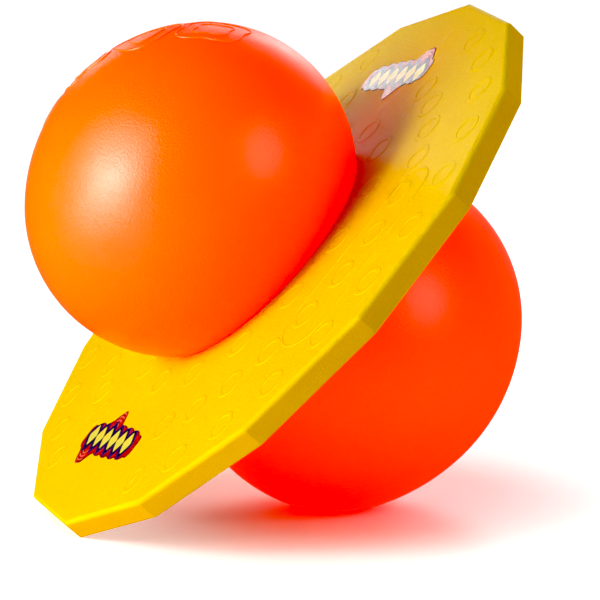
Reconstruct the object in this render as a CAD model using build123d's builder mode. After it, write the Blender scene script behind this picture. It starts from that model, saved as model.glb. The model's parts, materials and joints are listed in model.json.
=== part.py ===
from build123d import *
import os
from math import asin, cos, degrees, pi, radians, sin, sqrt

os.makedirs("parts", exist_ok=True)

# Platform: a fifteen-sided tray of moulded plastic, all sizes in millimetres.
# Its one moulding is divided at the underside of the deck into deck, skirt, collar and ribs,
# so that each of them is a simple shape and the bays between the ribs stay open.
SIDES = 15
CORNER_R = 205.0  # centre to corner
APOTHEM = CORNER_R * cos(pi / SIDES)  # centre to the middle of a side
DEPTH = 14.0  # underside of the skirt to the top of the deck
DECK_T = 3.2
SKIRT_T = 3.0
CORNER_FILLET = 2.0  # upright corners of the skirt
TOP_FILLET = 3.0  # rim of the deck
HOLE_R = 76.3
LIP_R = 4.5  # rounded lips of the hole
COLLAR_R = HOLE_R + 8.5  # outside of the thick ring round the hole
RIB_T = 2.4
RIB_CLEARANCE = 2.5  # ribs stop this far above the skirt's lower edge
ROOT = 0.5  # how far raised marks reach into the deck they grow from

# Raised rings and foot outlines on the deck.
RING_OUTER_R = 9.8
RING_INNER_R = 7.0
RAISED = 0.8
RIM_ROW_R = 181.0
MID_ROW_R = 141.0
HUB_ROW_R = 100.0
ROW_COUNT = 30
HUB_ROW_COUNT = 15
MARK_AXIS = 6.0  # degrees from the uphill direction to the far sticker
BARE_HALF_ANGLE = 18.0  # no rings this close to a sticker's centre line
FOOT_TOE_R = 22.5
FOOT_HEEL_R = 16.0
FOOT_TOE_AT = -44.0
FOOT_HEEL_AT = 47.0
FOOT_LINE = 1.4
FOOT_RAISED = 0.5

# Stickers on the bare patches of the deck.
STICKER_L = 92.0
STICKER_W = 25.0
STICKER_T = 0.3
STICKER_AT = 146.0
BADGE_R = 19.0  # round badge that widens the strip
BADGE_AT = -16.0

# Ball: two oblate lobes with a waist that fills the platform's hole, divided halfway up the waist.
# Heights are measured along the ball's axis from the platform's underside.
UPPER_R = 104.0
UPPER_HALF = 94.3
UPPER_AT = 73.0
LOWER_R = 110.5
LOWER_HALF = 100.0
LOWER_AT = -64.4
ARC_SHIFT = 1.65  # side arcs are centred this many times the lobe's flattening off the axis
WALL = 3.0
GAP = 0.35  # between the ball and the platform
WAIST_R = HOLE_R - GAP

# Valve in the lower lobe's pole.
VALVE_R = 6.0
VALVE_L = 14.0
VALVE_INSET = 1.6  # outer face of the sleeve below the ball's skin
VALVE_FLANGE_R = 10.0
VALVE_FLANGE_T = 2.0
VALVE_FLANGE_GAP = 0.6  # keeps the flat flange off the curved wall
BORE_R = 3.0
STEM_R = 2.94
STEM_L = 12.0
HEAD_R = 5.4
HEAD_T = 1.8
HEAD_GAP = 0.3


def arc_centres(radius, half_height):
    """Centres of the arcs of a lobe's oval: its side's distance off the axis, its crown's past the centre."""
    flattening = radius - half_height
    side = ARC_SHIFT * flattening
    crown = flattening * (2 * side - flattening) / (2 * (side - flattening))
    return side, crown


def reach(radius, half_height, axis_share):
    """How far a lobe reaches from its centre along a direction with this share of the ball's axis."""
    side, crown = arc_centres(radius, half_height)
    across = sqrt(1 - axis_share**2)
    if across * crown > axis_share * side:
        return radius - side + side * across
    return half_height + crown - crown * axis_share


def rim_above_lobe(lean):
    """Height of the low side of the skirt above the bottom of the lower lobe, at a lean in radians."""
    rim = -APOTHEM * sin(lean)
    lobe = LOWER_AT * cos(lean) - reach(LOWER_R, LOWER_HALF, cos(lean))
    return rim - lobe


def resting_lean():
    """Lean at which the skirt and the lower lobe both touch the floor, found by halving."""
    low, high = 0.0, pi / 2
    for _ in range(60):
        middle = (low + high) / 2
        if rim_above_lobe(middle) > 0:
            low = middle
        else:
            high = middle
    return (low + high) / 2


# The object leans towards -X and rests on one side of its skirt and on the lower lobe.
lean = resting_lean()
left = -UPPER_AT * sin(lean) - reach(UPPER_R, UPPER_HALF, sin(lean))
right = -LOWER_AT * sin(lean) + reach(LOWER_R, LOWER_HALF, sin(lean))
hub = Plane(
    origin=(-(left + right) / 2, 0, APOTHEM * sin(lean)),
    x_dir=(cos(lean), 0, sin(lean)),
    z_dir=(-sin(lean), 0, cos(lean)),
)
ball_axis = Axis(hub.origin, hub.z_dir)
profile = Plane(origin=hub.origin, x_dir=hub.x_dir, z_dir=-hub.y_dir)
deck_face = hub.offset(DEPTH)


def turned(plane, angle):
    """The plane turned about its own normal by an angle in degrees."""
    x_dir = plane.x_dir * cos(radians(angle)) + plane.y_dir * sin(radians(angle))
    return Plane(origin=plane.origin, x_dir=x_dir, z_dir=plane.z_dir)


def ring_row(radius, count, first, bare_half_angle):
    """Centres of a row of rings, without those beside the stickers' centre line."""
    centres = []
    for index in range(count):
        angle = radians(first + 360 * index / count)
        if degrees(asin(abs(sin(angle)))) >= bare_half_angle:
            centres.append((radius * cos(angle), radius * sin(angle)))
    return centres


def lobe(radius, half_height, at, cut, side):
    """Lobe's outline of four tangent arcs, kept only on its own side of the platform."""
    side_at, crown_at = arc_centres(radius, half_height)
    spread = (half_height + crown_at) / sqrt(side_at**2 + crown_at**2)
    join_x = side_at * spread
    join_y = crown_at * spread - crown_at
    with BuildSketch() as outline:
        with BuildLine():
            ThreePointArc((-join_x, at + join_y), (0, at + half_height), (join_x, at + join_y))
            ThreePointArc((join_x, at + join_y), (radius, at), (join_x, at - join_y))
            ThreePointArc((join_x, at - join_y), (0, at - half_height), (-join_x, at - join_y))
            ThreePointArc((-join_x, at - join_y), (-radius, at), (-join_x, at + join_y))
        make_face()
        with Locations((0, cut)):
            Rectangle(3 * CORNER_R, 3 * CORNER_R, align=(Align.CENTER, side), mode=Mode.SUBTRACT)
    return outline.sketch


def ball_section(inset):
    """Half section of the ball, drawn inside its skin by the inset."""
    top = DEPTH + GAP + inset
    bottom = -GAP - inset
    neck_r = WAIST_R - inset
    upper = lobe(UPPER_R - inset, UPPER_HALF - inset, UPPER_AT, top, Align.MAX)
    lower = lobe(LOWER_R - inset, LOWER_HALF - inset, LOWER_AT, bottom, Align.MIN)
    with BuildSketch() as section:
        add(upper)
        add(lower)
        with Locations((0, (top + bottom) / 2)):
            Rectangle(2 * neck_r, top - bottom)
        neck_corners = [vertex for vertex in section.vertices() if abs(abs(vertex.X) - neck_r) < 0.01]
        fillet(neck_corners, LIP_R + GAP)
        Rectangle(3 * CORNER_R, 6 * CORNER_R, align=(Align.MAX, Align.CENTER), mode=Mode.SUBTRACT)
    return section.sketch


# Ball: one hollow moulding in two halves, with a round opening at the lower pole for the valve.
lower_pole = LOWER_AT - LOWER_HALF
valve_face = lower_pole + VALVE_INSET
waist_middle = hub.offset(DEPTH / 2)
skin = ball_section(0)
hollow = ball_section(WALL)
with BuildPart() as ball:
    with BuildSketch(profile):
        add(skin)
        add(hollow, mode=Mode.SUBTRACT)
        with Locations((0, lower_pole)):
            Rectangle(2 * VALVE_R, 4 * WALL, mode=Mode.SUBTRACT)
    revolve(axis=ball_axis)

with BuildPart() as upper_lobe:
    add(ball.part)
    split(bisect_by=waist_middle, keep=Keep.TOP)
upper_lobe.part.label = "upper_lobe"
export_step(upper_lobe.part, "parts/upper_lobe.step")

with BuildPart() as lower_lobe:
    add(ball.part)
    split(bisect_by=waist_middle, keep=Keep.BOTTOM)
lower_lobe.part.label = "lower_lobe"
export_step(lower_lobe.part, "parts/lower_lobe.step")

# Valve sleeve: a tube with a flange against the inside of the ball's wall.
with BuildPart() as valve_sleeve:
    with BuildSketch(hub.offset(valve_face)):
        Circle(VALVE_R)
    extrude(amount=VALVE_L)
    with BuildSketch(hub.offset(lower_pole + WALL + VALVE_FLANGE_GAP)):
        Circle(VALVE_FLANGE_R)
    extrude(amount=VALVE_FLANGE_T)
    with BuildSketch(hub.offset(valve_face)):
        Circle(BORE_R)
    extrude(amount=VALVE_L, mode=Mode.SUBTRACT)
valve_sleeve.part.label = "valve_sleeve"
export_step(valve_sleeve.part, "parts/valve_sleeve.step")

# Valve plug: a tapered-tip stem with a low head that a coin or nail can lift.
with BuildPart() as valve_plug:
    with BuildSketch(hub.offset(valve_face - HEAD_GAP)):
        Circle(STEM_R)
    extrude(amount=STEM_L)
    chamfer(valve_plug.edges().filter_by(GeomType.CIRCLE).sort_by(ball_axis)[-1], STEM_R / 3)
    with BuildSketch(hub.offset(valve_face - HEAD_GAP - HEAD_T)):
        Circle(HEAD_R)
    extrude(amount=HEAD_T)
    fillet(valve_plug.edges().filter_by(GeomType.CIRCLE).sort_by(ball_axis)[0], HEAD_T / 3)
valve_plug.part.label = "valve_plug"
export_step(valve_plug.part, "parts/valve_plug.step")

# Tray: the platform's moulding without its ribs and marks.
with BuildPart() as tray:
    with BuildSketch(hub):
        RegularPolygon(CORNER_R, SIDES)
        fillet(vertices(), CORNER_FILLET)
    extrude(amount=DEPTH)
    fillet(tray.faces().sort_by(ball_axis)[-1].edges(), TOP_FILLET)
    with BuildSketch(hub):
        RegularPolygon(APOTHEM - SKIRT_T, SIDES, major_radius=False)
        Circle(COLLAR_R, mode=Mode.SUBTRACT)
    extrude(amount=DEPTH - DECK_T, mode=Mode.SUBTRACT)
    with BuildSketch(hub):
        Circle(HOLE_R)
    extrude(amount=DEPTH, mode=Mode.SUBTRACT)
    hole_edges = tray.edges().filter_by(GeomType.CIRCLE).filter_by(lambda edge: edge.radius == HOLE_R)
    fillet(hole_edges, LIP_R)
under_deck = hub.offset(DEPTH - DECK_T)

# Deck: the flat plate, with its raised rings and foot outlines.
ring_centres = (
    ring_row(RIM_ROW_R, ROW_COUNT, 0, BARE_HALF_ANGLE)
    + ring_row(MID_ROW_R, ROW_COUNT, 0, BARE_HALF_ANGLE)
    + ring_row(HUB_ROW_R, HUB_ROW_COUNT, 180 / HUB_ROW_COUNT, 0)
)
with BuildPart() as deck:
    add(tray.part)
    split(bisect_by=under_deck, keep=Keep.TOP)
    with BuildSketch(turned(deck_face.offset(-ROOT), MARK_AXIS)):
        with Locations(*ring_centres):
            Circle(RING_OUTER_R)
            Circle(RING_INNER_R, mode=Mode.SUBTRACT)
    extrude(amount=ROOT + RAISED)

    for side in (90, 270):
        with BuildSketch(turned(deck_face.offset(-ROOT), MARK_AXIS + side)):
            with Locations((MID_ROW_R, FOOT_TOE_AT)):
                Circle(FOOT_TOE_R)
            with Locations((MID_ROW_R, FOOT_HEEL_AT)):
                Circle(FOOT_HEEL_R)
            make_hull()
            offset(amount=-FOOT_LINE, mode=Mode.SUBTRACT)
        extrude(amount=ROOT + FOOT_RAISED)
deck.part.label = "deck"
export_step(deck.part, "parts/deck.step")

# Skirt and collar: the outer and inner rings below the deck.
with BuildPart() as rings:
    add(tray.part)
    split(bisect_by=under_deck, keep=Keep.BOTTOM)
collar, skirt = rings.solids().sort_by(lambda ring: ring.bounding_box().size.Y)
collar.label = "collar"
export_step(collar, "parts/collar.step")
skirt.label = "skirt"
export_step(skirt, "parts/skirt.step")

# Ribs: one behind the middle of each side, from the collar to the skirt.
rib_length = APOTHEM - SKIRT_T - COLLAR_R
with BuildPart() as ribs:
    with BuildSketch(hub.offset(RIB_CLEARANCE)):
        with PolarLocations(COLLAR_R + rib_length / 2, SIDES, start_angle=180 / SIDES):
            Rectangle(rib_length, RIB_T)
    extrude(amount=DEPTH - DECK_T - RIB_CLEARANCE)
ribs.part.label = "ribs"
export_step(ribs.part, "parts/ribs.step")


def sticker(angle):
    """Strip with a round badge, laid flat on the deck across the given direction."""
    with BuildPart() as piece:
        with BuildSketch(turned(deck_face, angle)):
            with Locations((STICKER_AT, 0)):
                SlotOverall(STICKER_L, STICKER_W, rotation=90)
            with Locations((STICKER_AT, BADGE_AT)):
                Circle(BADGE_R)
        extrude(amount=STICKER_T)
    return piece


near_sticker = sticker(MARK_AXIS + 180)
near_sticker.part.label = "near_sticker"
export_step(near_sticker.part, "parts/near_sticker.step")

far_sticker = sticker(MARK_AXIS)
far_sticker.part.label = "far_sticker"
export_step(far_sticker.part, "parts/far_sticker.step")
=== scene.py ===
import json
import math

import bpy
import numpy as np
from mathutils import Matrix, Quaternion, Vector


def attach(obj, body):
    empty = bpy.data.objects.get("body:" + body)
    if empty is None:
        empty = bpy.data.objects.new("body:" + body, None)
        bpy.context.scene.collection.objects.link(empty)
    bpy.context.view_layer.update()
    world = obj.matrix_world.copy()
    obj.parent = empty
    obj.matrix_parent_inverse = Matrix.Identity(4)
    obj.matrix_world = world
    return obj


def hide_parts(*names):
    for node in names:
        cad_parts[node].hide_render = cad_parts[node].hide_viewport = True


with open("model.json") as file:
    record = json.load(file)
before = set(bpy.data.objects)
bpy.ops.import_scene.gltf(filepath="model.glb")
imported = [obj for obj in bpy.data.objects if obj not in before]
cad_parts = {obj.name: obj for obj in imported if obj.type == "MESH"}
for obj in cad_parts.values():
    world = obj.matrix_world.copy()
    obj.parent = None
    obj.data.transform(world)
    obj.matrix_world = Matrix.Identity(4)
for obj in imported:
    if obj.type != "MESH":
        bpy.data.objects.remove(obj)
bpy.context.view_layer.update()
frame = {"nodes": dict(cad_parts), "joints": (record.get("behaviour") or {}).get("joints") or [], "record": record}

MM = 0.001
BODY = "ball_and_platform"

# Platform, in millimetres, measured from the middle of its underside along the ball's axis.
SIDES = 15
HALF_SIDE = math.pi / SIDES
CORNER_R = 205.0
APOTHEM = CORNER_R * math.cos(HALF_SIDE)
DEPTH = 14.0
DECK_T = 3.2
SKIRT_T = 3.0
CORNER_ROUND = 2.4
TOP_ROUND = 3.0
EDGE_ROUND = 0.8
HOLE_R = 76.3
LIP_R = 4.5
COLLAR_R = 84.8
RIB_T = 2.4
RIB_CLEARANCE = 2.5
MARK_AXIS = 6.0
RING_R = 8.4
RING_W = 2.8
RAISED = 0.24
ROWS = ((181.0, 30, 0.0, 18.0), (141.0, 30, 0.0, 18.0), (100.0, 15, 12.0, 0.0))
FOOT_AT = 141.0
FOOT_TOE = (-44.0, 22.5)
FOOT_HEEL = (47.0, 16.0)
FOOT_W = 1.6
FOOT_RAISED = 0.24

# Stickers.
STICKER_AT = 146.0
STICKER_SHIFT = 5.0
STICKER_T = 0.3

# Ball.
UPPER = (104.0, 94.3, 73.0)
LOWER = (110.5, 100.0, -64.4)
ARC_SHIFT = 1.65
NECK_R = 75.95
GAP = 0.35
VALVE_R = 6.0
WALL = 3.0
CONTACT_SAG = 3.2
CONTACT_REACH = 80.0

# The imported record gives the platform's lean and its place.
mounts = {mount["name"]: mount for mount in frame["record"]["mounts"]}
uphill = -Vector(mounts["rim_facet"]["axis"])
axis = -Vector(frame["joints"][0]["axis"])
across = axis.cross(uphill)
deck_middle = (Vector(mounts["front_foot"]["pos_m"]) + Vector(mounts["back_foot"]["pos_m"])) / 2
hub_origin = deck_middle - axis * DEPTH * MM
HUB = Matrix.Translation(hub_origin) @ Matrix((uphill, across, axis)).transposed().to_4x4()


def turned(degrees, x=0.0, y=0.0, z=0.0):
    """A frame on the hub, turned about the ball's axis and shifted in millimetres."""
    shift = Matrix.Translation(Vector((x, y, z)) * MM)
    return HUB @ Matrix.Rotation(math.radians(degrees), 4, "Z") @ shift


class Shape:
    """Vertices in millimetres and faces of one mesh, gathered patch by patch."""

    def __init__(self):
        self.points = []
        self.faces = []
        self.count = 0

    def add(self, points, faces):
        self.points.append(np.asarray(points, float).reshape(-1, 3))
        self.faces.extend(tuple(int(i) + self.count for i in face) for face in faces)
        self.count += len(self.points[-1])

    def grid(self, rows, wrap_rows=False, wrap_columns=True):
        """Quads between rows of points, each row the same length."""
        rows = np.asarray(rows, float)
        high, wide = rows.shape[:2]
        faces = []
        for i in range(high if wrap_rows else high - 1):
            for j in range(wide if wrap_columns else wide - 1):
                a, b = i * wide + j, i * wide + (j + 1) % wide
                c, d = (i + 1) % high * wide + (j + 1) % wide, (i + 1) % high * wide + j
                faces.append((a, b, c, d))
        self.add(rows, faces)

    def disc(self, middle, row, flip=False):
        """Triangles from a middle point to a closed row."""
        wide = len(row)
        faces = [(0, 1 + j, 1 + (j + 1) % wide) for j in range(wide)]
        if flip:
            faces = [face[::-1] for face in faces]
        self.add(np.vstack([[middle], row]), faces)

    def piece(self, name, place, material):
        """The mesh as a piece in the row frame, with its own coordinates kept for its material."""
        local = np.vstack(self.points) * MM
        turn = np.array(place)
        mesh = bpy.data.meshes.new(name)
        mesh.from_pydata(local @ turn[:3, :3].T + turn[:3, 3], [], self.faces)
        mesh.materials.append(material)
        mesh.polygons.foreach_set("use_smooth", [True] * len(mesh.polygons))
        kept = mesh.attributes.new("local", "FLOAT_VECTOR", "POINT")
        kept.data.foreach_set("vector", local.astype(np.float32).ravel())
        mesh.update()
        piece = bpy.data.objects.new(name, mesh)
        bpy.context.scene.collection.objects.link(piece)
        return piece


def arc(centre, radius, start, end, count):
    """Points of an arc, angles in degrees."""
    angles = np.radians(np.linspace(start, end, count))
    return [(centre[0] + radius * math.cos(a), centre[1] + radius * math.sin(a)) for a in angles]


def lathe(shape, profile, segments):
    """Turns (radius, height) points about the ball's axis. An end point on the axis closes that end."""
    turn = np.linspace(0, 2 * math.pi, segments, endpoint=False)
    ring = [np.column_stack([r * np.cos(turn), r * np.sin(turn), np.full(segments, h)]) for r, h in profile]
    first, last = profile[0][0] < 1e-6, profile[-1][0] < 1e-6
    body = ring[1 if first else 0:len(ring) - 1 if last else len(ring)]
    shape.grid(body)
    if first:
        shape.disc((0, 0, profile[0][1]), body[0], flip=True)
    if last:
        shape.disc((0, 0, profile[-1][1]), body[-1])


# ---------------------------------------------------------------- materials

def material(name, finish, local=True):
    """A node material; finish fills it in. Local ones use the coordinates kept in the piece's mesh."""
    made = bpy.data.materials.new(name)
    made.use_nodes = True
    finish(Nodes(made.node_tree, local))
    return made


class Nodes:
    """Short calls for building a node tree."""

    def __init__(self, tree, local):
        self.tree = tree
        self.shader = next((n for n in tree.nodes if n.type == "BSDF_PRINCIPLED"), None)
        if local:
            self.coordinates = self.node("ShaderNodeAttribute", attribute_name="local").outputs["Vector"]
        else:
            self.coordinates = self.node("ShaderNodeTexCoord").outputs["Object"]

    def node(self, kind, inputs=(), **settings):
        made = self.tree.nodes.new(kind)
        for key, value in settings.items():
            setattr(made, key, value)
        for key, value in dict(inputs).items():
            self.set(made.inputs[key], value)
        return made

    def set(self, socket, value):
        if isinstance(value, bpy.types.NodeSocket):
            self.tree.links.new(value, socket)
        else:
            socket.default_value = value

    def noise(self, scale, detail=2.0, roughness=0.5, vector=None):
        inputs = {
            "Vector": vector or self.coordinates,
            "Scale": scale,
            "Detail": detail,
            "Roughness": roughness,
        }
        return self.node("ShaderNodeTexNoise", inputs).outputs["Fac"]

    def cells(self, scale, vector=None):
        inputs = {"Vector": vector or self.coordinates, "Scale": scale}
        return self.node("ShaderNodeTexVoronoi", inputs).outputs["Distance"]

    def math(self, operation, a, b=0.0, clamp=False):
        made = self.node("ShaderNodeMath", operation=operation, use_clamp=clamp)
        self.set(made.inputs[0], a)
        self.set(made.inputs[1], b)
        return made.outputs[0]

    def span(self, value, low, high, to_low=0.0, to_high=1.0, smooth=False):
        inputs = {"Value": value, "From Min": low, "From Max": high, "To Min": to_low, "To Max": to_high}
        kind = "SMOOTHSTEP" if smooth else "LINEAR"
        return self.node("ShaderNodeMapRange", inputs, interpolation_type=kind).outputs["Result"]

    def mix(self, share, a, b):
        """Colour a where the share is 0, colour b where it is 1."""
        made = self.node("ShaderNodeMix", data_type="RGBA")
        self.set(made.inputs["Factor"], share)
        self.set(made.inputs[6], a)
        self.set(made.inputs[7], b)
        return made.outputs[2]

    def bump(self, height, distance, strength=1.0, normal=None):
        inputs = {"Height": height, "Distance": distance, "Strength": strength}
        if normal is not None:
            inputs["Normal"] = normal
        return self.node("ShaderNodeBump", inputs).outputs["Normal"]

    def attribute(self, name):
        return self.node("ShaderNodeAttribute", attribute_name=name).outputs["Fac"]

    def height(self):
        """Height along the object's own Z, in metres."""
        return self.node("ShaderNodeSeparateXYZ", {"Vector": self.coordinates}).outputs["Z"]

    def finish(self, **sockets):
        for key, value in sockets.items():
            self.set(self.shader.inputs[key.replace("_", " ")], value)


def ball_skin(nodes):
    """Satin vinyl with a fine moulded grain. Painted light: lighter orange at the crown and redder towards the
    waist and lower lobe, and a red glow of its own.
    """
    cloud = nodes.noise(9.0, 3.0)
    # Painted light: the colour turns lighter orange towards the top, as if the upper lobe were lit more.
    crown = nodes.span(nodes.height(), -0.06, 0.17)
    share = nodes.math("ADD", crown, nodes.span(cloud, 0.3, 0.7, -0.08, 0.08), clamp=True)
    base = nodes.mix(share, (1.0, 0.06, 0.0, 1), (1.0, 0.12, 0.0, 1))
    fleck = nodes.span(nodes.noise(420.0, 4.0), 0.35, 0.75)
    base = nodes.mix(nodes.math("MULTIPLY", fleck, 0.08), base, (1.0, 0.16, 0.01, 1))
    grain = nodes.noise(950.0, 2.0, 0.6)
    pores = nodes.cells(700.0)
    surface = nodes.math("ADD", grain, nodes.math("MULTIPLY", pores, 0.5))
    wave = nodes.bump(nodes.noise(28.0, 2.0), 0.0006, 0.35)
    normal = nodes.bump(surface, 0.00021, 0.75, wave)
    nodes.finish(
        Base_Color=base,
        Roughness=nodes.span(nodes.noise(60.0, 4.0), 0.3, 0.7, 0.29, 0.33),
        Normal=normal,
        Specular_IOR_Level=0.38,
        # Painted light: the skin glows red of its own at strength 0.55, so its shaded parts stay bright red.
        Emission_Color=(1.0, 0.01, 0.0, 1.0),
        Emission_Strength=0.55,
    )


def platform_plastic(nodes):
    """Moulded yellow plastic: fine stipple, pale specks, rubs in its gloss and a duller skirt, darkened and
    reddened towards its bottom by painted shade.
    """
    cloud = nodes.noise(11.0, 3.0)
    base = nodes.mix(nodes.span(cloud, 0.3, 0.7), (0.57, 0.39, 0.0, 1), (0.61, 0.415, 0.0, 1))
    speck = nodes.span(nodes.noise(700.0, 1.0), 0.5, 0.68, 0.0, 0.1)
    base = nodes.mix(speck, base, (0.92, 0.6, 0.14, 1))
    # Painted shade: below the deck the colour darkens and turns redder towards the skirt's bottom edge.
    edge = nodes.span(nodes.height(), 0.0105, 0.0135, 0.38, 0.0, smooth=True)
    base = nodes.mix(edge, base, (0.3, 0.05, 0.0, 1))
    stipple = nodes.noise(1300.0, 3.0, 0.65)
    pits = nodes.cells(850.0)
    surface = nodes.math("ADD", stipple, nodes.math("MULTIPLY", pits, 0.6))
    stretched = nodes.node(
        "ShaderNodeMapping",
        {"Vector": nodes.coordinates, "Scale": (18.0, 160.0, 60.0), "Rotation": (0.0, 0.0, 0.6)},
    ).outputs["Vector"]
    rubs = nodes.span(nodes.noise(1.0, 5.0, 0.7, stretched), 0.55, 0.75)
    satin = nodes.span(cloud, 0.3, 0.7, 0.2, 0.25)
    grit = nodes.span(nodes.noise(900.0, 2.0, 0.7), 0.42, 0.62, 0.4, 1.7)
    top = nodes.span(nodes.height(), 0.0137, 0.0139, 0.01, 0.12)
    nodes.finish(
        Base_Color=base,
        Roughness=nodes.math("ADD", satin, nodes.math("MULTIPLY", rubs, 0.07)),
        Normal=nodes.bump(surface, 0.0002, 0.8),
        Specular_IOR_Level=nodes.math("MULTIPLY", grit, top),
    )


def valve_rubber(nodes):
    """Soft red rubber with a dusty bloom."""
    dust = nodes.span(nodes.noise(300.0, 4.0), 0.45, 0.75)
    base = nodes.mix(dust, (0.5, 0.035, 0.01, 1), (0.6, 0.1, 0.06, 1))
    nodes.finish(
        Base_Color=base,
        Roughness=nodes.math("ADD", 0.6, nodes.math("MULTIPLY", dust, 0.2)),
        Normal=nodes.bump(nodes.noise(1800.0, 2.0), 0.0001, 0.4),
    )


def plug_plastic(nodes):
    """Off-white plug, a little scuffed."""
    scuff = nodes.span(nodes.noise(500.0, 5.0, 0.7), 0.5, 0.7)
    base = nodes.mix(scuff, (0.82, 0.79, 0.7, 1), (0.62, 0.58, 0.5, 1))
    nodes.finish(
        Base_Color=base,
        Roughness=nodes.span(scuff, 0.0, 1.0, 0.38, 0.6),
        Normal=nodes.bump(nodes.noise(1600.0, 2.0), 0.00008, 0.4),
    )


def sticker_print(nodes):
    """Glossy print: red badge with a dark cut edge, a navy band and yellow lozenges outlined in black."""
    rim = nodes.attribute("rim")
    mark = nodes.attribute("mark")
    blotch = nodes.span(nodes.noise(260.0, 4.0), 0.35, 0.7)
    red = nodes.mix(blotch, (0.26, 0.006, 0.001, 1), (0.42, 0.02, 0.002, 1))
    ink = nodes.span(nodes.noise(120.0, 3.0), 0.4, 0.6)
    navy = nodes.mix(ink, (0.01, 0.008, 0.06, 1), (0.035, 0.015, 0.11, 1))
    tint = nodes.span(nodes.noise(110.0), 0.35, 0.65)
    yellow = nodes.mix(tint, (0.54, 0.47, 0.04, 1), (0.46, 0.5, 0.08, 1))
    colour = nodes.mix(nodes.span(rim, 0.4, 1.6, 0.8, 0.0, smooth=True), red, (0.12, 0.005, 0.003, 1))
    colour = nodes.mix(nodes.attribute("streak"), colour, (0.7, 0.22, 0.18, 1))
    colour = nodes.mix(nodes.span(mark, -3.4, -2.6, smooth=True), colour, navy)
    colour = nodes.mix(nodes.span(mark, -1.3, -0.8, smooth=True), colour, (0.004, 0.004, 0.008, 1))
    colour = nodes.mix(nodes.span(mark, -0.1, 0.3, smooth=True), colour, yellow)
    nodes.finish(
        Base_Color=colour,
        Roughness=nodes.span(nodes.noise(200.0, 3.0), 0.3, 0.7, 0.1, 0.2),
        Normal=nodes.bump(nodes.noise(90.0, 2.0), 0.0002, 0.5),
        Specular_IOR_Level=0.36,
        Coat_Weight=0.12,
        Coat_Roughness=0.1,
    )


SKIN = material("ball_skin_vinyl", ball_skin)
PLASTIC = material("platform_plastic", platform_plastic)
RUBBER = material("valve_rubber", valve_rubber, local=False)
PLUG = material("plug_plastic", plug_plastic, local=False)
PRINT = material("sticker_print", sticker_print)


# ---------------------------------------------------------------- camera and stage

# Angles in degrees, distances in metres, the lens in millimetres.
CAMERA_AZIMUTH = -19.31
CAMERA_ELEVATION = 6.16
CAMERA_DISTANCE = 1.330
CAMERA_AIM = Vector((0.0153, 0.0, 0.1289))
CAMERA_LENS = 130.1

FLOOR_HALF = 30.0
SHADOW_AT = (0.055, 0.02, 0.0)

WHITE = (1.0, 1.0, 1.0)
MIDDLE = (0.0, 0.0, 0.15)
KEY_PLACE = (-1.5, -0.3, 0.62)
KEY_COLOUR = (1.0, 0.97, 0.92)
SIDE_PLACE = (0.79, -1.16, 0.87)
SIDE_GLINT_PLACE = (0.71, -1.21, 0.84)
PANEL_PLACE = (-0.02, 1.3, 0.685)
PANEL_TARGET = (0.0, 0.0, 0.22)
PANEL_TILT = math.radians(-40.0)
BOUNCE_PLACE = HUB @ Vector((0.112, 0.0, 0.062))
BOUNCE_TARGET = HUB @ Vector((0.14, 0.0, 0.014))
BOUNCE_COLOUR = (1.0, 0.2, 0.02)
NO_DIFFUSE = ("visible_diffuse",)
NO_GLOSS = ("visible_glossy",)
OUT_OF_SIGHT = ("visible_glossy", "visible_camera")

# Soft boxes: name, place, target, size, power in watts, colour and what is switched off.
SOFT_BOXES = (
    ("key_core", KEY_PLACE, MIDDLE, (0.3, 0.4), 10.5, KEY_COLOUR, ()),
    ("key_wide", KEY_PLACE, MIDDLE, (0.9, 1.1), 11.5, KEY_COLOUR, ()),
    ("side", SIDE_PLACE, MIDDLE, (0.22, 0.32), 2.8, WHITE, NO_GLOSS),
    ("glint", KEY_PLACE, MIDDLE, (0.34, 0.44), 9.0, WHITE, NO_DIFFUSE),
    ("glint", KEY_PLACE, MIDDLE, (1.2, 1.5), 45.0, WHITE, NO_DIFFUSE),
    ("glint", SIDE_GLINT_PLACE, MIDDLE, (0.66, 0.86), 6.6, WHITE, NO_DIFFUSE),
    ("back_panel", PANEL_PLACE, PANEL_TARGET, (0.32, 0.16), 0.5, WHITE, ()),
    ("ball_bounce", BOUNCE_PLACE, BOUNCE_TARGET, (0.05, 0.1), 0.025, BOUNCE_COLOUR, OUT_OF_SIGHT),
    ("right_window", (1.0, 1.4, 0.95), MIDDLE, (0.5, 0.6), 2.6, WHITE, ()),
    ("right_high", (0.7, 1.5, 1.15), MIDDLE, (0.7, 0.5), 2.2, WHITE, ()),
    ("left_wall", (-1.3, -0.12, 0.34), MIDDLE, (0.9, 0.8), 13.0, WHITE, NO_GLOSS),
)

# Even light from wide soft patches of wall: name, azimuth, elevation and strength.
WASHES = (
    ("front_right", -30.0, 10.0, 1.0),
    ("right_wall", 50.0, 10.0, 3.7),
    ("back_wall", 130.0, 8.0, 0.6),
    ("rim_wash", 0.0, 30.0, 1.2),
    ("floor_wash", -140.0, 50.0, 1.7),
)
WASH_SPREAD = 60.0

BEHIND = (0.33, 0.94, 0.0)
WALL_GLOW = 1.05
UPPER_WALL_GLOW = 0.08
UNDER_FLOOR_SHARE = 0.04
ROOM_GLOW = 0.11
BLACK = 0.04


def facing(azimuth, elevation):
    """Unit vector from angles in degrees, with the azimuth measured from +X towards +Y."""
    a, e = math.radians(azimuth), math.radians(elevation)
    return Vector((math.cos(a) * math.cos(e), math.sin(a) * math.cos(e), math.sin(e)))


def add_camera():
    """Camera at the photograph's viewing angle. Its azimuth is measured from -Y towards +X."""
    back = facing(CAMERA_AZIMUTH - 90.0, CAMERA_ELEVATION)
    data = bpy.data.cameras.new("camera")
    data.sensor_width = 36.0
    data.lens = CAMERA_LENS
    camera = bpy.data.objects.new("camera", data)
    camera.location = CAMERA_AIM + back * CAMERA_DISTANCE
    camera.rotation_mode = "QUATERNION"
    camera.rotation_quaternion = (-back).to_track_quat("-Z", "Y")
    bpy.context.scene.collection.objects.link(camera)
    bpy.context.scene.camera = camera


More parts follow.
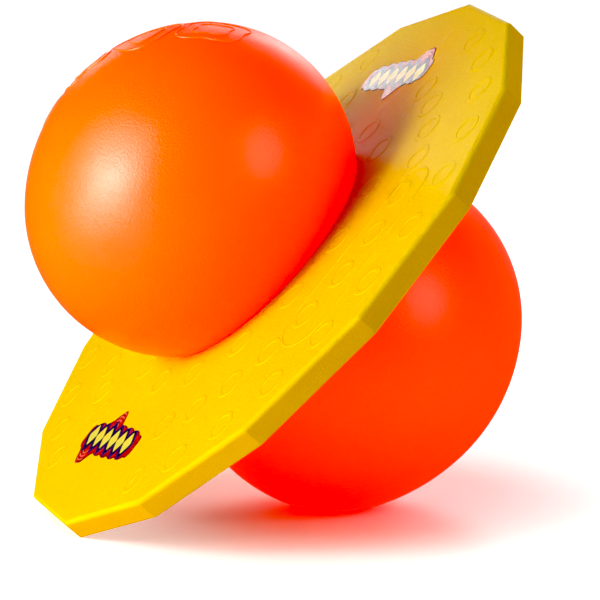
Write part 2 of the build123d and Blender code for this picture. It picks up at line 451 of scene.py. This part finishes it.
def add_light(name, data, towards):
    """A light that shines along a vector."""
    light = bpy.data.objects.new(name, data)
    light.rotation_mode = "QUATERNION"
    light.rotation_quaternion = towards.to_track_quat("-Z", "Y")
    bpy.context.scene.collection.objects.link(light)
    return light


def add_soft_box(name, place, target, size, power, colour, switched_off):
    data = bpy.data.lights.new(name, "AREA")
    data.shape = "RECTANGLE"
    data.size, data.size_y = size
    data.energy = power
    data.color = colour
    light = add_light(name, data, Vector(target) - Vector(place))
    light.location = place
    for key in switched_off:
        setattr(light, key, False)
    return light


def add_wash(name, azimuth, elevation, strength):
    data = bpy.data.lights.new(name, "SUN")
    data.energy = strength
    data.angle = math.radians(WASH_SPREAD)
    light = add_light(name, data, -facing(azimuth, elevation))
    light.visible_glossy = False
    return light


def light_only(light, piece):
    """Keeps a light to one piece."""
    lit = bpy.data.collections.new("lit_by_" + light.name)
    lit.objects.link(piece)
    light.light_linking.receiver_collection = lit


def floor_paint(nodes):
    """White studio board that glows with painted light of its own, weaker round the object's shadow, so that shade
    is partly painted.
    """
    tone = nodes.span(nodes.noise(14.0, 2.0), 0.3, 0.7, 0.9, 0.92)
    ends = {0: nodes.coordinates, 1: SHADOW_AT}
    away = nodes.node("ShaderNodeVectorMath", ends, operation="DISTANCE").outputs["Value"]
    # Painted light: the floor glows little near the object and more far off; the dark patch there is partly real
    # shadow and partly painted shade.
    near = nodes.span(away, 0.09, 0.2, 0.0, 0.3, smooth=True)
    far = nodes.span(away, 0.3, 1.0, 0.0, 0.2, smooth=True)
    channels = {"Red": tone, "Green": tone, "Blue": tone}
    nodes.finish(
        Base_Color=nodes.node("ShaderNodeCombineColor", channels).outputs["Color"],
        Roughness=nodes.span(nodes.noise(40.0, 3.0), 0.3, 0.7, 0.38, 0.44),
        Emission_Color=(1.0, 1.0, 1.0, 1.0),
        Emission_Strength=nodes.math("ADD", near, far),
    )


def add_floor():
    mesh = bpy.data.meshes.new("floor")
    half = FLOOR_HALF
    corners = [(-half, -half, 0), (half, -half, 0), (half, half, 0), (-half, half, 0)]
    mesh.from_pydata(corners, [], [(0, 1, 2, 3)])
    mesh.materials.append(material("floor_paint", floor_paint, local=False))
    floor = bpy.data.objects.new("floor", mesh)
    bpy.context.scene.collection.objects.link(floor)
    floor.visible_glossy = False
    return floor


def add_surroundings():
    """A low white wall behind the object, and a dim room above it and on the camera's side."""
    world = bpy.data.worlds.new("studio")
    bpy.context.scene.world = world
    world.use_nodes = True
    nodes = Nodes(world.node_tree, local=False)
    background = next(n for n in world.node_tree.nodes if n.type == "BACKGROUND")
    way = nodes.node("ShaderNodeTexCoord").outputs["Generated"]
    along = nodes.node("ShaderNodeVectorMath", {0: way, 1: BEHIND}, operation="DOT_PRODUCT")
    rise = nodes.node("ShaderNodeSeparateXYZ", {"Vector": way}).outputs["Z"]
    wall = nodes.span(rise, 0.035, 0.09, WALL_GLOW, UPPER_WALL_GLOW, smooth=True)
    above = nodes.span(rise, -0.06, 0.0, UNDER_FLOOR_SHARE, 1.0, smooth=True)
    wall = nodes.math("MULTIPLY", wall, above)
    share = nodes.span(along.outputs["Value"], 0.93, 0.985, smooth=True)
    room = nodes.math("MULTIPLY", nodes.math("SUBTRACT", 1.0, share), ROOM_GLOW)
    strength = nodes.math("ADD", nodes.math("MULTIPLY", share, wall), room)
    nodes.set(background.inputs["Strength"], strength)
    background.inputs["Color"].default_value = (1.0, 1.0, 1.0, 1.0)


def set_display():
    """A plain display with its blacks set a little deep, as in a bright product print."""
    view = bpy.context.scene.view_settings
    view.view_transform = "Standard"
    view.use_curve_mapping = True
    view.curve_mapping.black_level = (BLACK, BLACK, BLACK)
    view.curve_mapping.update()


add_camera()
floor = add_floor()
add_surroundings()
lights = {}
for box in SOFT_BOXES:
    lights[box[0]] = add_soft_box(*box)
for wash in WASHES:
    lights[wash[0]] = add_wash(*wash)
panel = lights["back_panel"]
panel.rotation_quaternion = panel.rotation_quaternion @ Quaternion((0.0, 0.0, 1.0), PANEL_TILT)
light_only(lights["floor_wash"], floor)
set_display()


# ---------------------------------------------------------------- ball

def arc_centres(radius, half_height):
    flattening = radius - half_height
    side = ARC_SHIFT * flattening
    crown = flattening * (2 * side - flattening) / (2 * (side - flattening))
    return side, crown


def lobe_half(lobe, cut, count_crown=34, count_side=62):
    """Outline of a lobe from its pole to the cut beside the platform, as (radius, height)."""
    radius, half, at = lobe
    side, crown = arc_centres(radius, half)
    up = 1 if at > 0 else -1
    crown_r = half + crown
    side_r = radius - side
    join = math.degrees(math.atan2(crown, side))
    end = -math.degrees(math.asin((at - cut) * up / side_r))
    points = arc((0.0, -crown), crown_r, 90.0, join, count_crown)
    points += arc((side, 0.0), side_r, join, end, count_side)[1:]
    return [(max(r, 0.0), at + up * h) for r, h in points]


def rest_on_floor(piece):
    """Presses the lower lobe a little flat where it touches the floor."""
    points = np.empty(len(piece.data.vertices) * 3)
    piece.data.vertices.foreach_get("co", points)
    points = points.reshape(-1, 3)
    lowest = points[points[:, 2].argmin()]
    away = np.hypot(points[:, 0] - lowest[0], points[:, 1] - lowest[1]) / (CONTACT_REACH * MM)
    near = np.clip(1 - away, 0, 1)
    near = near ** 2 * (3 - 2 * near) * (points[:, 2] < CONTACT_REACH * MM)
    points[:, 2] -= np.minimum(CONTACT_SAG * MM * near, points[:, 2])
    piece.data.vertices.foreach_set("co", points.ravel())
    piece.data.update()


def crown_place(points, lift):
    """Points laid on the upper lobe's crown, from distances in millimetres round its pole."""
    radius, half, at = UPPER
    side, crown = arc_centres(radius, half)
    crown_r, side_r = half + crown, radius - side
    join = math.atan2(side, crown)
    away = np.hypot(points[:, 0], points[:, 1])
    turn = np.arctan2(points[:, 1], points[:, 0])
    on_crown = away < crown_r * join
    tilt = np.where(on_crown, away / crown_r, join + (away - crown_r * join) / side_r)
    r = np.where(on_crown, (crown_r + lift) * np.sin(tilt), side + (side_r + lift) * np.sin(tilt))
    h = np.where(on_crown, (crown_r + lift) * np.cos(tilt) - crown, (side_r + lift) * np.cos(tilt))
    return np.column_stack([r * np.cos(turn), r * np.sin(turn), at + h])


def flat_place(points, lift):
    """Points laid on the deck."""
    return np.column_stack([points[:, 0], points[:, 1], np.full(len(points), DEPTH) + lift])


def ridge(shape, path, width, height, place, flare=0.3):
    """A raised line with rounded shoulders along a closed path of (x, y) points."""
    path = np.asarray(path, float)
    ahead, behind = np.roll(path, -1, 0), np.roll(path, 1, 0)
    along = (ahead - path) / np.linalg.norm(ahead - path, axis=1)[:, None]
    before = (path - behind) / np.linalg.norm(path - behind, axis=1)[:, None]
    bisector = along + before
    bisector /= np.linalg.norm(bisector, axis=1)[:, None]
    stretch = 1 / np.clip((bisector * along).sum(1), 0.5, 1)
    sideways = np.column_stack([-bisector[:, 1], bisector[:, 0]]) * stretch[:, None]
    half = width / 2
    section = [
        (-half - flare, -0.04),
        (-half - 0.4 * flare, 0.1 * height),
        (-half, 0.45 * height),
        (-half + 0.5 * flare, 0.88 * height),
        (-half + 1.3 * flare, height),
    ]
    section += [(-x, h) for x, h in section[::-1]]
    rows = [place(path + sideways * x, np.full(len(path), h)) for x, h in section]
    shape.grid(rows)


def circle(x, y, radius, count):
    turn = np.linspace(0, 2 * math.pi, count, endpoint=False)
    return np.column_stack([x + radius * np.cos(turn), y + radius * np.sin(turn)])


# Raised motif on the crown: a row of double wavy outlines, turned to the far side.
MOTIF_TURN = math.radians(320.0)
MOTIF_OFFSET = 27.0
MOTIF_STEP = 43.0
MOTIF_COUNT = 5
MOTIF_OUTER = (21.0, 2.4, 0.9, 0.6)  # mean radius and depth of the waves, width and height of the line
MOTIF_INNER = (11.5, 1.6, 0.8, 0.5)


def blossom(radius, waves, depth, count=140):
    """A rounded closed outline with shallow waves."""
    turn = np.linspace(0, 2 * math.pi, count, endpoint=False)
    r = radius + depth * np.cos(waves * turn)
    return np.column_stack([r * np.cos(turn), r * np.sin(turn)])


def crown_motif(shape):
    along = np.array([math.cos(MOTIF_TURN), math.sin(MOTIF_TURN)])
    aside = np.array([-along[1], along[0]])
    for index in range(MOTIF_COUNT):
        t = index - (MOTIF_COUNT - 1) / 2
        middle = along * MOTIF_STEP * t + aside * MOTIF_OFFSET
        waves = 3 + index % 3
        for radius, depth, width, height in (MOTIF_OUTER, MOTIF_INNER):
            ridge(shape, middle + blossom(radius, waves, depth), width, height, crown_place)


def make_ball():
    shape = Shape()
    top = DEPTH + GAP
    upper = lobe_half(UPPER, top)
    lower = lobe_half(LOWER, -GAP)[::-1]
    fillet = LIP_R + GAP
    neck = arc((NECK_R + fillet, top - fillet), fillet, 90.0, 180.0, 8)
    neck += arc((NECK_R + fillet, -GAP + fillet), fillet, 180.0, 270.0, 8)
    pole = LOWER[2] - LOWER[1]
    opening = [point for point in lower if point[0] > VALVE_R + 1.0]
    mouth = [(VALVE_R + 0.6, pole + 0.1), (VALVE_R + 0.1, pole + 0.5), (VALVE_R + 0.02, pole + WALL)]
    profile = upper + neck + opening + mouth
    lathe(shape, profile, 288)
    crown_motif(shape)
    ball = shape.piece("ball", HUB, SKIN)
    rest_on_floor(ball)
    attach(ball, BODY)
    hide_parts("upper_lobe", "lower_lobe")


make_ball()


# ---------------------------------------------------------------- platform

def side_angles():
    """Angles round the platform, closer together at its corners."""
    flat = np.linspace(-0.9, 0.9, 11) * HALF_SIDE
    dense = HALF_SIDE * np.array([0.94, 0.965, 0.98, 0.99, 0.997])
    offsets = np.concatenate([-dense[::-1], flat, dense, [HALF_SIDE]])
    turns = [2 * HALF_SIDE * k + HALF_SIDE + offset for k in range(SIDES) for offset in offsets]
    return np.array(turns)


TURNS = side_angles()
FROM_MIDDLE = (TURNS + 1e-9) % (2 * HALF_SIDE) - HALF_SIDE


def outline_radius(inset):
    """Distance from the centre to the rounded polygon, moved inwards."""
    apothem = APOTHEM - inset
    rounding = max(CORNER_ROUND - inset, 0.5)
    centre = (apothem - rounding) / math.cos(HALF_SIDE)
    flat_end = math.atan2(centre * math.sin(HALF_SIDE), apothem)
    away = np.abs(FROM_MIDDLE)
    to_corner = HALF_SIDE - away
    inside = np.clip(rounding ** 2 - (centre * np.sin(to_corner)) ** 2, 0, None)
    curved = centre * np.cos(to_corner) + np.sqrt(inside)
    return np.where(away < flat_end, apothem / np.cos(away), curved)


def outline_row(radius, height):
    return np.column_stack([radius * np.cos(TURNS), radius * np.sin(TURNS), np.full(len(TURNS), height)])


def make_tray(shape):
    """Skirt, rounded rim, deck, lip, collar and the deck's underside as one closed skin."""
    under = DEPTH - DECK_T
    rows = []

    def poly(inset, height):
        rows.append(outline_row(outline_radius(inset), height))

    def ring(radius, height):
        rows.append(outline_row(np.full(len(TURNS), radius), height))

    poly(EDGE_ROUND + 0.3, 0.0)
    for r, h in arc((EDGE_ROUND, EDGE_ROUND), EDGE_ROUND, 270.0, 180.0, 5):
        poly(r, h)
    poly(0.0, EDGE_ROUND + 0.4)
    poly(0.0, DEPTH - TOP_ROUND - 0.4)
    for r, h in arc((TOP_ROUND, DEPTH - TOP_ROUND), TOP_ROUND, 180.0, 90.0, 9):
        poly(r, h)
    poly(TOP_ROUND + 0.5, DEPTH)
    rim, lip = outline_radius(TOP_ROUND + 0.5), HOLE_R + LIP_R + 0.4
    for share in (0.1, 0.25, 0.5, 0.75):
        rows.append(outline_row(rim * (1 - share) + lip * share, DEPTH))
    ring(lip, DEPTH)
    for r, h in arc((HOLE_R + LIP_R, DEPTH - LIP_R), LIP_R, 90.0, 180.0, 8):
        ring(r, h)
    for r, h in arc((HOLE_R + LIP_R, LIP_R), LIP_R, 180.0, 270.0, 8):
        ring(r, h)
    ring(COLLAR_R - 0.9, 0.0)
    for r, h in arc((COLLAR_R - 0.6, 0.6), 0.6, 270.0, 360.0, 4):
        ring(r, h)
    ring(COLLAR_R, under - 1.2)
    for r, h in arc((COLLAR_R + 1.0, under - 1.0), 1.0, 180.0, 90.0, 4):
        ring(r, h)
    inner = outline_radius(SKIRT_T + 1.2)
    rows.append(outline_row(inner * 0.5 + COLLAR_R * 0.5, under))
    poly(SKIRT_T + 1.2, under)
    for r, h in arc((SKIRT_T + 1.0, under - 1.0), 1.0, 90.0, 180.0, 4):
        poly(r, h)
    poly(SKIRT_T, EDGE_ROUND + 0.4)
    for r, h in arc((SKIRT_T - EDGE_ROUND, EDGE_ROUND), EDGE_ROUND, 0.0, -90.0, 5):
        poly(r, h)
    shape.grid(rows, wrap_rows=True)


def make_ribs(shape):
    """A straight rib behind the middle of each side, with a rounded foot and flared root."""
    under = DEPTH - DECK_T
    half = RIB_T / 2
    section = [
        (-half - 0.9, under + 0.05),
        (-half - 0.25, under - 0.3),
        (-half, under - 1.1),
        (-half, RIB_CLEARANCE + 0.7),
        (-half + 0.2, RIB_CLEARANCE + 0.2),
        (-half + 0.7, RIB_CLEARANCE),
    ]
    section += [(-x, h) for x, h in section[::-1]]
    lengths = np.linspace(COLLAR_R - 0.5, APOTHEM - SKIRT_T + 0.5, 9)
    for index in range(SIDES):
        turn = (2 * index + 1) * HALF_SIDE
        out = np.array([math.cos(turn), math.sin(turn), 0.0])
        aside = np.array([-math.sin(turn), math.cos(turn), 0.0])
        rows = [[out * r + aside * x + np.array([0, 0, h]) for x, h in section] for r in lengths]
        shape.grid(rows, wrap_columns=False)


def make_marks(shape):
    """Raised rings in three rows, and a foot outline on each side of the ball."""
    for radius, count, first, bare in ROWS:
        for index in range(count):
            angle = math.radians(first + 360.0 * index / count)
            if math.degrees(math.asin(abs(math.sin(angle)))) < bare:
                continue
            angle += math.radians(MARK_AXIS)
            path = circle(radius * math.cos(angle), radius * math.sin(angle), RING_R, 48)
            ridge(shape, path, RING_W, RAISED, flat_place)
    for side in (90.0, 270.0):
        angle = math.radians(MARK_AXIS + side)
        turn = np.array([[math.cos(angle), -math.sin(angle)], [math.sin(angle), math.cos(angle)]])
        ridge(shape, foot_outline() @ turn.T, FOOT_W, FOOT_RAISED, flat_place)


def foot_outline():
    """Closed outline round the toe and heel circles."""
    (toe_y, toe_r), (heel_y, heel_r) = FOOT_TOE, FOOT_HEEL
    slope = math.degrees(math.asin((toe_r - heel_r) / (heel_y - toe_y)))
    toe = arc((FOOT_AT, toe_y), toe_r - FOOT_W / 2, 180.0 - slope, 360.0 + slope, 36)
    heel = arc((FOOT_AT, heel_y), heel_r - FOOT_W / 2, slope, 180.0 - slope, 26)
    return np.array(toe + heel)


def make_platform():
    shape = Shape()
    make_tray(shape)
    make_ribs(shape)
    make_marks(shape)
    platform = shape.piece("platform", HUB, PLASTIC)
    light_only(lights["rim_wash"], platform)
    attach(platform, BODY)
    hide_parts("deck", "skirt", "collar", "ribs")


make_platform()


# ---------------------------------------------------------------- stickers

STICKER_HALF_L = 44.5
STICKER_HALF_W = 10.6
CREST = (-9.0, 10.0, 7.5)  # place along the strip, height and width of the crest beside the ball
TAIL = (-27.0, 9.5, 8.5)  # the same for the tail on the outer edge
SCALLOPS = 7
SCALLOP_DEPTH = 1.6
LOZENGES = 6
LOZENGE_STEP = 12.6
LOZENGE_HALF = (6.0, 7.8)
LOZENGE_POWER = 1.12  # 1 gives straight sides, 2 an oval
LOZENGE_SLANT = 0.12
PRINT_SHIFT = -2.0


def sticker_outline(count=560):
    """Long strip with scalloped edges, a rounded crest on one edge and a tail on the other."""
    turn = np.linspace(0, 2 * math.pi, count, endpoint=False)
    c, s = np.cos(turn), np.sin(turn)
    x = STICKER_HALF_W * np.sign(c) * np.abs(c) ** 0.42
    y = STICKER_HALF_L * np.sign(s) * np.abs(s) ** 0.88
    wave = np.abs(np.sin(math.pi * SCALLOPS * y / (2 * STICKER_HALF_L))) * SCALLOP_DEPTH
    x = x + wave * np.sign(c) * np.clip(np.abs(c) * 2.2, 0, 1)
    for (at, tall, wide), side in ((CREST, -1), (TAIL, 1)):
        bump = np.exp(-(np.abs((y - at) / wide) ** 2.4))
        x = x + np.where(x * side > 0, side * tall * bump, 0.0)
    return np.column_stack([x, y])


def sticker_marks(points):
    """How far inside the nearest lozenge each point is, in millimetres."""
    best = np.full(len(points), -50.0)
    for index in range(LOZENGES):
        y = (index - (LOZENGES - 1) / 2) * LOZENGE_STEP + PRINT_SHIFT
        across_mark = np.abs(points[:, 1] - y - points[:, 0] * LOZENGE_SLANT) / LOZENGE_HALF[0]
        along_mark = np.abs(points[:, 0] + 1.0) / LOZENGE_HALF[1]
        reach = (across_mark ** LOZENGE_POWER + along_mark ** LOZENGE_POWER) ** (1 / LOZENGE_POWER)
        best = np.maximum(best, (1 - reach) * 0.75 * LOZENGE_HALF[0])
    return best


def sticker_streaks(points):
    """Pale arcs in the crest and the tail."""
    best = np.zeros(len(points))
    for (at, tall, wide), side in ((CREST, -1), (TAIL, 1)):
        middle_x = side * (STICKER_HALF_W - 3.0)
        away = np.hypot(points[:, 0] - middle_x, points[:, 1] - at)
        band = 1 - np.abs((away - 3.2) % 2.6 - 1.3) / 0.45
        there = (points[:, 0] * side > STICKER_HALF_W - 1.0) & (np.abs(points[:, 1] - at) < 0.55 * wide)
        best = np.maximum(best, np.where(there, np.clip(band, 0, 1), 0.0))
    return best


def make_sticker(name, angle, shift):
    outline = sticker_outline()
    spine = np.column_stack([outline[:, 0] * 0, np.clip(outline[:, 1], -40.0, 40.0)])
    shares = np.concatenate([[0.0, 0.006, 0.016, 0.035], np.linspace(0.06, 1.0, 44)])
    heights = np.interp(shares, [0.0, 0.006, 0.016, 0.035, 1.0], [0.0, 0.6, 0.9, 1.0, 1.0]) * STICKER_T
    rows, rims = [], []
    for share, height in zip(shares, heights):
        flat = outline + (spine - outline) * share
        rows.append(np.column_stack([flat, np.full(len(flat), height)]))
        rims.append(np.linalg.norm(flat[:, None] - outline[None, ::2], axis=2).min(1))
    shape = Shape()
    shape.grid(rows)
    piece = shape.piece(name, turned(angle, STICKER_AT, shift, DEPTH), PRINT)
    flat = np.vstack(rows)[:, :2]
    painted = {"rim": np.concatenate(rims), "mark": sticker_marks(flat), "streak": sticker_streaks(flat)}
    for key, values in painted.items():
        attribute = piece.data.attributes.new(key, "FLOAT", "POINT")
        attribute.data.foreach_set("value", values.astype(np.float32))
    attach(piece, BODY)
    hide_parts(name)


make_sticker("near_sticker", MARK_AXIS + 180.0, -STICKER_SHIFT)
make_sticker("far_sticker", MARK_AXIS, STICKER_SHIFT)


# ---------------------------------------------------------------- valve

for node, look in (("valve_sleeve", RUBBER), ("valve_plug", PLUG)):
    materials = frame["nodes"][node].data.materials
    materials.clear()
    materials.append(look)
